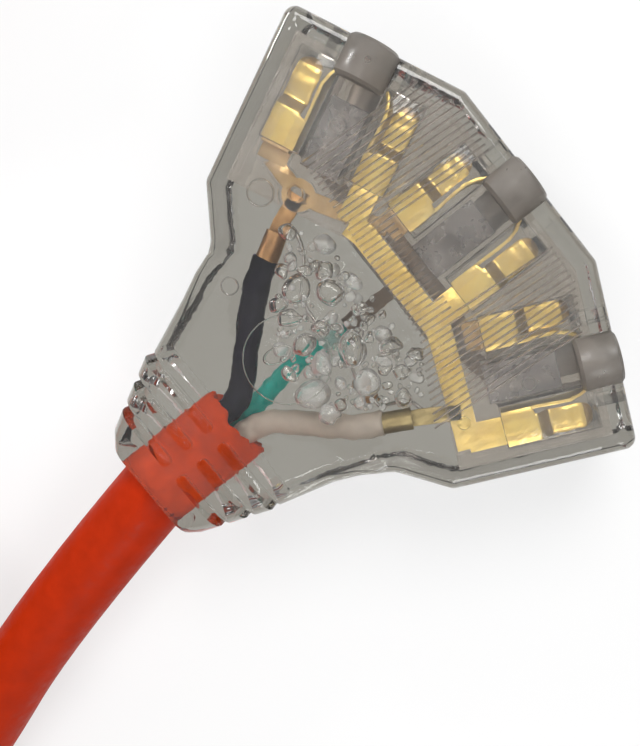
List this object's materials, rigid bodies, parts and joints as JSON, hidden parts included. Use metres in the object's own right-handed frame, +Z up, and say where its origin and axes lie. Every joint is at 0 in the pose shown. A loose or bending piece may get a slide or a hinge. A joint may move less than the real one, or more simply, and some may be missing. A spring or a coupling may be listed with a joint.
{
  "type": "three-outlet adapter lead",
  "caption": "Clear fan-shaped outlet tap on a short heavy orange cord, with brass bus bars, coloured wires and a lamp inside, and a moulded plug on the cord's far end.",
  "frame": {"origin": "middle of the tap's underside, taken on its own box without the cord", "axes": "+Y out of the middle outlet, +Z up from the flat far side that the tap lies on, +X to the right-hand outlet seen from above"},
  "size_m": [0.1665, 0.2749, 0.0301],
  "materials": {
    "clear_moulding": "clear soft moulded plastic",
    "inner_moulding": "clear moulded plastic",
    "stamped_brass": "bright stamped brass",
    "black_insulation": "smooth",
    "white_insulation": "smooth",
    "green_insulation": "smooth",
    "copper_strand": "twisted bare copper",
    "lamp_glass": "clear glass",
    "resistor_brown": "lacquered",
    "tinned_lead": "tinned wire",
    "orange_jacket": "smooth extruded, slight sheen",
    "black_strap": "woven look strap",
    "plug_moulding": "moulded, satin",
    "pin_brass": "bright"
  },
  "bodies": {
    "root": {"outer_body": "clear_moulding", "contact_carrier": "inner_moulding", "carrier_lid": "inner_moulding", "earth_cover": "inner_moulding", "live_bus": "stamped_brass", "neutral_bus": "stamped_brass", "earth_bus": "stamped_brass", "live_wire": "black_insulation", "neutral_wire": "white_insulation", "earth_wire": "green_insulation", "live_strands": "copper_strand", "neutral_strands": "copper_strand", "earth_strands": "copper_strand", "indicator_lamp": "lamp_glass", "lamp_resistor": "resistor_brown", "lamp_lead_live": "tinned_lead", "lamp_lead_link": "tinned_lead", "lamp_lead_neutral": "tinned_lead", "jacket_end": "orange_jacket", "cord": "orange_jacket", "cord_coil": "orange_jacket", "cord_tail": "orange_jacket", "coil_tie": "black_strap", "plug_body": "plug_moulding", "plug_live_blade": "pin_brass", "plug_neutral_blade": "pin_brass", "plug_earth_pin": "pin_brass"}
  },
  "joints": []
}
